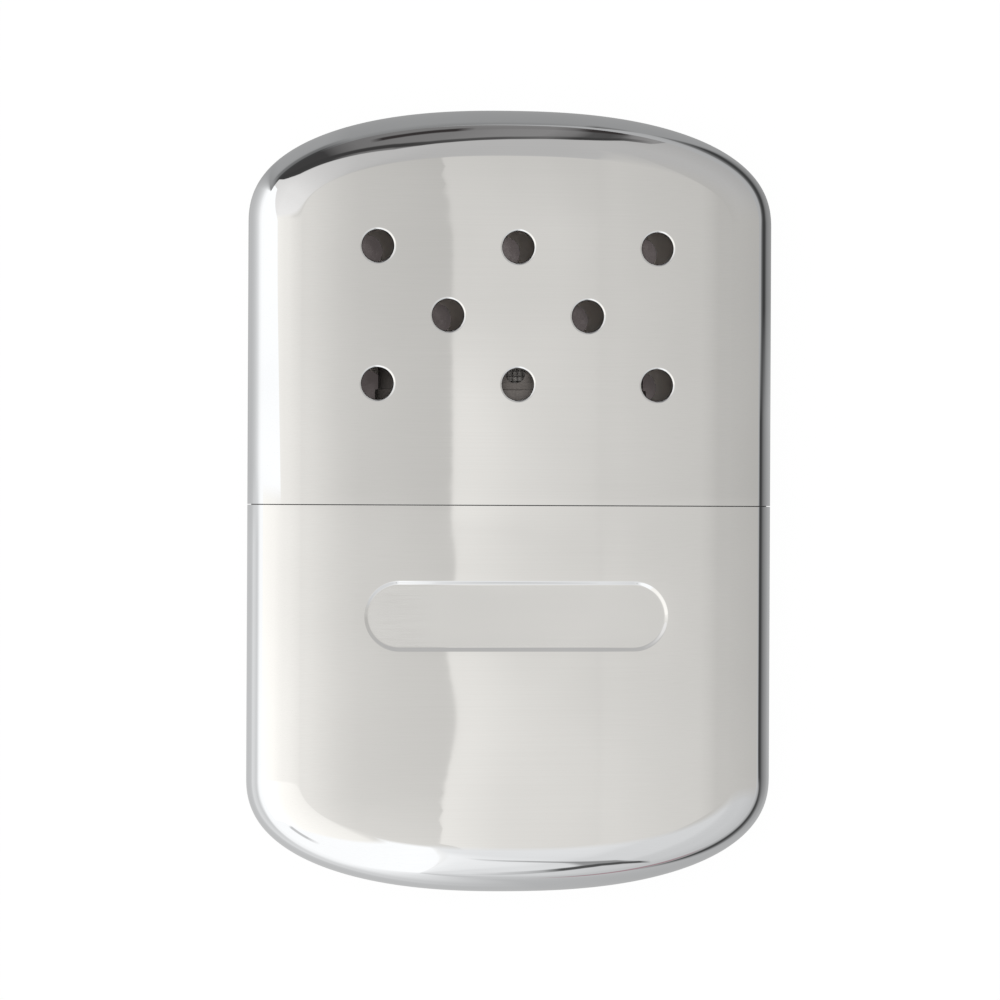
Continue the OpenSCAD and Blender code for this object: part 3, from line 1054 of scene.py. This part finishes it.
def burner_ring():
    """Band with a rolled bead at its foot, two pressed ribs and an eased top edge."""
    bead = BAND_HIGH.x - NECK_REACH - NECK_R
    outer = bead - BAND_T
    foot, top = BAND_LOW.y, BAND_HIGH.y
    corners = [
        (BAND_FIT, foot, 0.1),
        (bead, foot, 0.34),
        (bead, foot + BEAD_H, 0.34),
        (outer, foot + BEAD_H, 0.08),
    ]
    for rib in RIB_PLACES:
        corners += [
            (outer, foot + rib - RIB_HALF, 0.3),
            (outer - RIB_D, foot + rib, 0.3),
            (outer, foot + rib + RIB_HALF, 0.3),
        ]
    corners += [(outer, top, 0.16), (BAND_FIT, top, 0.16)]
    band = swept("band_ring", rounded(corners, steps=5), [BURNER])
    finished(band, "burner", "burner_steel", "burner_band")


def soft_filling():
    """Catalyst mat, wick and the three layers of wadding."""
    mat = finished(mat_pad("mat_wool", [FIBRE]), "burner", "catalyst_fibre", "catalyst_mat")
    wick = finished(wick_pad("wick_pad", [FELT]), "tank", "wick_felt", "felt_wick")
    for layer in ("back", "core", "front"):
        node = "wadding_" + layer
        pad = wadding_pad("cotton_" + layer, node, [COTTON])
        finished(pad, "tank", "cotton_wadding", node)


def pressed_parts():
    """The frame's own thin sheets, with eased edges and their finish."""
    for node, material in (
        ("burner_hood_front", BURNER),
        ("burner_hood_back", BURNER),
        ("mat_tray", STEEL),
        ("neck_grid", STEEL),
    ):
        part = frame["nodes"][node]
        part.data.materials.clear()
        part.data.materials.append(material)
        weld = part.modifiers.new("weld", "WELD")
        weld.merge_threshold = 0.001 * MM
        ease = part.modifiers.new("ease", "BEVEL")
        ease.width = 0.07 * MM
        ease.segments = 2
        ease.limit_method = "ANGLE"
        ease.angle_limit = math.radians(40)
        ease.harden_normals = False
        settle = part.modifiers.new("settle", "WEIGHTED_NORMAL")
        settle.keep_sharp = False


case()
tank_fittings()
burner_ring()
finished(gauze_weave("gauze_weave", [GAUZE]), "burner", "steel_gauze", "burner_gauze")
soft_filling()
pressed_parts()


# ---- studio

PHOTO_SIDE = 1000
VIEW_TILT = 7.5
VIEW_ROLL = 0.25
VIEW_DISTANCE = 600.0
MM_PER_PIXEL = 0.12821
CENTRE_PX = (510.3, 501.0)
SENSOR = 36.0
FLOOR_R = 4.0
FLOOR_SIDES = 96
FLOOR_DROP = 0.02
SHADOW_REACH = 30


def floor_card(nodes):
    """What the plate mirrors of the floor: cards that lie round the object.

    Each is told by the distance from the object's outline in millimetres: pale on the left, grey at
    the foot and the head, and nearly black on the right.
    """
    mix = nodes.mix
    x, y = [part / MM for part in nodes.parts()[:2]]
    left_x = x * -1.0
    out_x = nodes.math("MAXIMUM", abs(x) - (HALF_W - ARCH_D), 0)
    out_y = nodes.math("MAXIMUM", abs(y) - (HALF_L - ARCH_D), 0)
    far = nodes.length(out_x, out_y) - ARCH_D
    on_head = y.span(-10, 10)

    # Beyond the head, darker round its left corner; and beyond the foot
    head = far.profile((5, 0.36), (20, 0.35), (45, 0.345), (90, 0.31), (200, 0.28))
    dim = far.profile((20, 0.39), (34, 0.37), (50, 0.2), (95, 0.17), (150, 0.06))
    turn = nodes.angle(y - 35.0, left_x - 18.0)
    head = mix(turn.span(34, 42) * turn.span(68, 78, 1, 0), head, dim)
    bearing = nodes.angle(y, left_x)
    strip = bearing.span(101.5, 103) * bearing.span(106.5, 109, 1, 0)
    head = mix(strip * far.span(40, 90), head, (0.08, 0.075, 0.075, 1))
    # Painted shadow: beyond the foot the card darkens towards the outline, standing in for the
    # object's shade on the floor.
    foot = far.profile((5, 0.52), (12, 0.53), (40, 0.57), (110, 0.66), (200, 0.72))
    card = mix(on_head, foot.tint(x.span(2, 20, 1.0, 0.91)), head)

    # On the left, a pale card with a faint grey stripe along the tank
    # Painted shadow: the pale card, its striped part and the one by the foot darken towards the
    # outline, standing in for the object's shade on the floor.
    left = far.profile(
        (7, 0.55), (12, 0.61), (18, 0.7), (27, 0.83), (44, 1.04), (70, 1.13), (110, 1.17))
    striped = far.profile(
        (5, 0.6), (10, 0.64), (14, 0.82), (20, 0.78), (30, 0.71), (38, 0.82), (54, 1.06), (72, 1.15),
        (110, 1.17))
    foot_left = far.profile((4, 0.6), (9, 0.69), (17, 0.85), (36, 1.1), (80, 1.17))
    left = mix(y.span(4, -6), left, striped)
    left = mix(y.span(-64, -74), left, foot_left)
    by_head = left_x.span(29, 38) * (y + x * 0.56).span(22, 28, 1, 0)
    card = mix(mix(on_head, left_x.span(-6, 30), by_head), card, left)

    # On the right, a dark band that runs nearer to the case round the head's corner
    head_right = (far * y.span(40, 70, 1.0, 1.9)).profile(
        (4, 0.33), (12, 0.28), (18, 0.22), (25, 0.07), (33, 0.05), (44, 0.06), (60, 0.14), (75, 0.2),
        (100, 0.45), (200, 0.48))
    right = far.profile(
        (6, 0.46), (12, 0.38), (20, 0.3), (34, 0.19), (50, 0.075), (75, 0.055), (110, 0.06),
        (185, 0.35), (230, 0.48))
    foot_right = far.profile(
        (5, 0.52), (13, 0.42), (20, 0.41), (27, 0.2), (38, 0.06), (55, 0.08), (65, 0.25), (80, 0.4),
        (110, 0.5), (230, 0.56), (500, 0.64))
    right = mix(y.span(12, 26), right, head_right)
    right = mix(y.span(-40, -54), right, foot_right)
    card = mix(mix(on_head, x.span(36, 46), x.span(33, 37)), card, right)
    spot = nodes.length(x - 60.0, y + 165.0)
    return mix(spot.span(28, 42, 1, 0), card, (0.4, 0.25, 0.28, 1))


def studio_floor():
    """Wide pale floor: white to the camera, with a painted shadow near the object, and cards to the
    plate.
    """
    mesh = bpy.data.meshes.new("floor")
    ring = [(x, y, -FLOOR_DROP * MM) for x, y in circle(0, 0, FLOOR_R, FLOOR_SIDES)]
    mesh.from_pydata(ring, [], [list(range(FLOOR_SIDES))])
    floor = placed("floor", mesh)
    material = bpy.data.materials.new("studio_floor")
    nodes = Nodes(material)
    rays = nodes.add("LightPath").outputs
    seen = nodes.math(
        "ADD", *[Value(nodes, rays[kind]) for kind in ("Is Camera Ray", "Is Transmission Ray")],
        clamp=True)
    # Painted shadow: ambient occlusion dims the white emission to near black and warms it under the
    # case, and dims the mirrored cards too.
    cover = nodes.get("AmbientOcclusion", "AO", {"Distance": SHADOW_REACH * MM}, samples=16)
    pale = nodes.mix(cover.span(0.1, 0.4), (1.0, 0.85, 0.84, 1), (1, 1, 1, 1))
    matte = nodes.get("BsdfDiffuse", 0, {"Color": (0.5, 0.5, 0.51, 1)})
    white = nodes.get("Emission", 0, {"Color": pale, "Strength": cover.span(0.1, 0.4, 0.065, 1.04)})
    cards = {"Color": floor_card(nodes), "Strength": cover.span(0.1, 0.4, 0.1, 1)}
    blend = nodes.get("MixShader", 0, {0: seen * 0.93, 1: matte, 2: white})
    glossy = Value(nodes, rays["Is Glossy Ray"])
    blend = nodes.get("MixShader", 0, {0: glossy, 1: blend, 2: nodes.get("Emission", 0, cards)})
    nodes.add("OutputMaterial", {"Surface": blend})
    mesh.materials.append(material)


def studio_sky():
    """White room for the camera; to the object, softboxes and the dark cards between them.

    All angles are in degrees. Across is the angle from straight up towards +X. Turn goes round the
    horizon from -X, 0, over the head, +Y, 90, to +X, 180, and is negative on the foot's side. Rise is
    the angle above the horizon, and lean the angle out of the plane across the case, to the head.
    """
    world = bpy.data.worlds.new("studio")
    bpy.context.scene.world = world
    nodes = Nodes(world)
    mix = nodes.mix
    x, y, z = nodes.parts("Generated")
    across = nodes.angle(x, z)
    turn = nodes.angle(y, x * -1.0)
    rise, lean = [nodes.math("ARCSINE", part) * (180 / math.pi) for part in (z, y)]

    # The room over the flat faces: a large softbox on the left that ends in a hard edge at 6.9
    left = across.profile(
        (-92, 1.12), (-62, 1.05), (-52, 1), (-43, 0.965), (-30, 0.94), (-20, 0.91), (-8, 0.87),
        (-2.9, 0.835), (-2.1, 0.79), (-0.6, 0.715), (0.9, 0.672), (3.8, 0.645), (7, 0.625))
    left = left.tint(lean.span(-3.4, -4.2, 1, 1.07))
    right = across.profile(
        (6.9, 0.895), (7.15, 0.88), (7.4, 0.85), (7.75, 0.8), (8.2, 0.755), (8.6, 0.725), (9, 0.7),
        (10.5, 0.7), (12, 0.68), (15, 0.65), (16.6, 0.64), (17.3, 0.605), (17.9, 0.56), (20, 0.55))
    upper = lean.span(1.2, 2.4, 0, 0.13) * across.span(7.1, 8.2, 1, 0)
    lower = lean.span(0, -0.4, 0, 0.07) * across.span(7.8, 9.5, 1, 0)
    right = right * across.span(20, 88, 1.0, 0.93) * (1.0 - upper - lower)
    room = mix(across.span(6.89, 6.93), left, right)
    fade = lean.profile(
        (-4.2, 1.14), (-2.7, 1.1), (-0.8, 1.06), (-0.1, 1.05), (0.05, 1), (0.75, 1), (2.65, 0.965),
        (3.3, 0.955), (3.6, 0.93), (3.8, 0.905), (4.0, 0.885), (4.3, 0.845))
    less = across.profile(
        (-34, 1), (-22, 0.2), (-10, 0), (7.5, 0), (10, 0.5), (16, 0.65), (40, 1))
    room = room.tint(mix(less * lean.span(0, 0.7), fade, (1, 1, 1, 1)))
    room = room.tint((1.03, 1.0, 0.95, 1))

    # Beyond the head, a plain wall and a bright window low on the left
    wall = turn.profile(
        (0, 0.96), (20, 0.9), (30, 0.87), (38, 0.86), (42, 0.84), (50, 0.78), (62, 0.69), (78, 0.58),
        (92, 0.54), (98, 0.52), (106, 0.51), (125, 0.51), (180, 0.53))
    wall = wall.tint(rise.span(0, 35, 0.92, 1.03)).tint((1.02, 1.0, 0.98, 1))
    room = mix(lean.span(4.4, across.span(9, 13, 6.5, 32)), room, wall)
    window = turn.profile((0, 42), (3, 33), (10, 27), (21, 20), (33, 12), (36, 0))
    in_window = (window - rise).span(0, 0.6) * turn.span(0.0, 0.2)
    room = mix(in_window, room, (1.18, 1.18, 1.18, 1))

    # The dark card over the head: its top edge, a dark line along that, and a broken crease
    card_top = turn.profile(
        (42, 0), (43.5, 10), (46, 16), (50, 23), (53, 27), (64, 34), (71, 39), (78, 44), (87, 51),
        (92, 50), (96.5, 47.5), (99.5, 43), (101.5, 39), (103.5, 36.5), (106, 30), (108, 23),
        (112, 17), (114, 0))
    below = card_top - rise
    card = turn.profile(
        (64, 0.055), (69, 0.055), (73, 0.13), (78, 0.19), (86, 0.21), (94, 0.22), (98, 0.26),
        (100, 0.27), (102, 0.2), (103.3, 0.09), (105.5, 0.08), (107, 0.12), (108.5, 0.25),
        (112, 0.31))
    edge = turn.profile(
        (88, 0.05), (95, 0.075), (99, 0.09), (101, 0.16), (103, 0.05), (107, 0.06), (110, 0.18),
        (112, 0.3))
    card = mix(below.line(turn.span(86, 93, 10.5, 5), 3, 3.5), card, edge)
    crease = turn.profile((81, 15), (87, 14.5), (94, 12.5), (98, 7), (103, 5), (107, 1))
    broken = turn.profile(
        (81, 0), (83.5, 1), (94, 1), (95.5, 0.1), (99.5, 0.15), (101.5, 0.3), (103, 1), (106.5, 1),
        (108, 0))
    card = mix(rise.line(crease, 2.8, 3) * broken, card, (0.04, 0.036, 0.036, 1))
    room = mix(below.span(0, 2) * lean.span(8, 12), room, card.tint((1.03, 1.0, 0.99, 1)))

    # Beyond the foot: a low softbox on the left, grey on the right, and two dark folds that meet
    foot = across.profile(
        (6.2, 0.95), (8, 0.9), (11, 0.87), (13, 0.85), (16, 0.78), (33, 0.77), (40, 0.7), (50, 0.68),
        (63, 0.68), (80, 0.64), (90, 0.6))
    on_right = across.span(5.3, 6.2)
    foot = foot.tint(turn.span(-104, -99, 1.0, 1.12))
    room = mix(lean.span(-8, -18) * on_right, room, foot)
    softbox = turn.profile(
        (-112, 76), (-93, 78), (-80, 60), (-69, 44), (-56, 27), (-45, 14), (-40, 0))
    in_box = (softbox - rise).span(-2, 5) * lean.span(-6, -9) * (1.0 - on_right)
    room = mix(in_box, room, (1.17, 1.17, 1.17, 1))
    hook = rise.line(14.0, 2, 2) * turn.profile((-68, 0), (-62, 1), (-52, 1), (-50, 0))
    room = mix(hook, room, (0.65, 0.65, 0.65, 1))
    high = turn.profile((-110.5, 16), (-108, 28), (-105, 33), (-103.5, 37), (-102, 42), (-100, 48))
    low = turn.profile(
        (-111.5, 8), (-110.5, 13), (-108, 20), (-105, 23), (-103, 21.5), (-101, 18), (-99, 14),
        (-97, 9))
    between = (rise - low).span(-1, 1) * (high - rise).span(-1, 1)
    between = between * turn.profile((-110, 0), (-108.5, 1), (-103.5, 1), (-102.5, 0))
    room = mix(between, room, (0.35, 0.35, 0.35, 1))
    shown = turn.profile((-110.5, 0), (-108, 0.8), (-103, 0.8), (-101.5, 0.7), (-99, 0))
    room = mix(rise.line(high, 1.5, 2.5) * shown, room, (0.28, 0.28, 0.28, 1))
    shown = turn.profile((-112, 0), (-110.5, 1), (-101, 1), (-99.5, 0.5), (-97, 0.15), (-95, 0))
    room = mix(rise.line(low, 2.5, 2.5) * shown, room, (0.09, 0.09, 0.09, 1))

    seen = mix(nodes.get("LightPath", "Is Camera Ray"), room, (1, 1, 1, 1))
    light = nodes.get("Background", 0, {"Color": seen, "Strength": 1.0})
    nodes.add("OutputWorld", {"Surface": light})


def soft_lamp():
    """Large overhead lamp that fills in matte surfaces and isn't mirrored in the plate."""
    data = bpy.data.lights.new("soft_lamp", "AREA")
    data.shape = "DISK"
    data.size = 1.2
    data.energy = 9.0
    lamp = placed("soft_lamp", data)
    lamp.location = (-0.25, 0.3, 1.4)
    lamp.rotation_mode = "QUATERNION"
    lamp.rotation_quaternion = Vector(lamp.location).to_track_quat("Z", "Y")
    lamp.visible_glossy = False
    lamp.visible_camera = False


def camera():
    """Long lens square to the front face but for a few degrees, as in the photograph."""
    data = bpy.data.cameras.new("camera")
    data.sensor_width = SENSOR
    data.lens = SENSOR * VIEW_DISTANCE / (PHOTO_SIDE * MM_PER_PIXEL)
    data.clip_start = 0.05
    data.clip_end = 20
    tilt = math.radians(VIEW_TILT)
    back = Vector((-math.sin(tilt), 0, math.cos(tilt)))
    level = Quaternion((0, 1, 0), -tilt)
    half = PHOTO_SIDE / 2
    off = Vector((half - CENTRE_PX[0], CENTRE_PX[1] - half, 0)) * MM_PER_PIXEL
    eye = placed("camera", data)
    eye.rotation_mode = "QUATERNION"
    eye.rotation_quaternion = level @ Quaternion((0, 0, 1), math.radians(VIEW_ROLL))
    eye.location = (MIDDLE + level @ off + back * VIEW_DISTANCE) * MM
    bpy.context.scene.camera = eye


studio_floor()
studio_sky()
soft_lamp()
camera()
bpy.context.scene.view_settings.view_transform = "Standard"
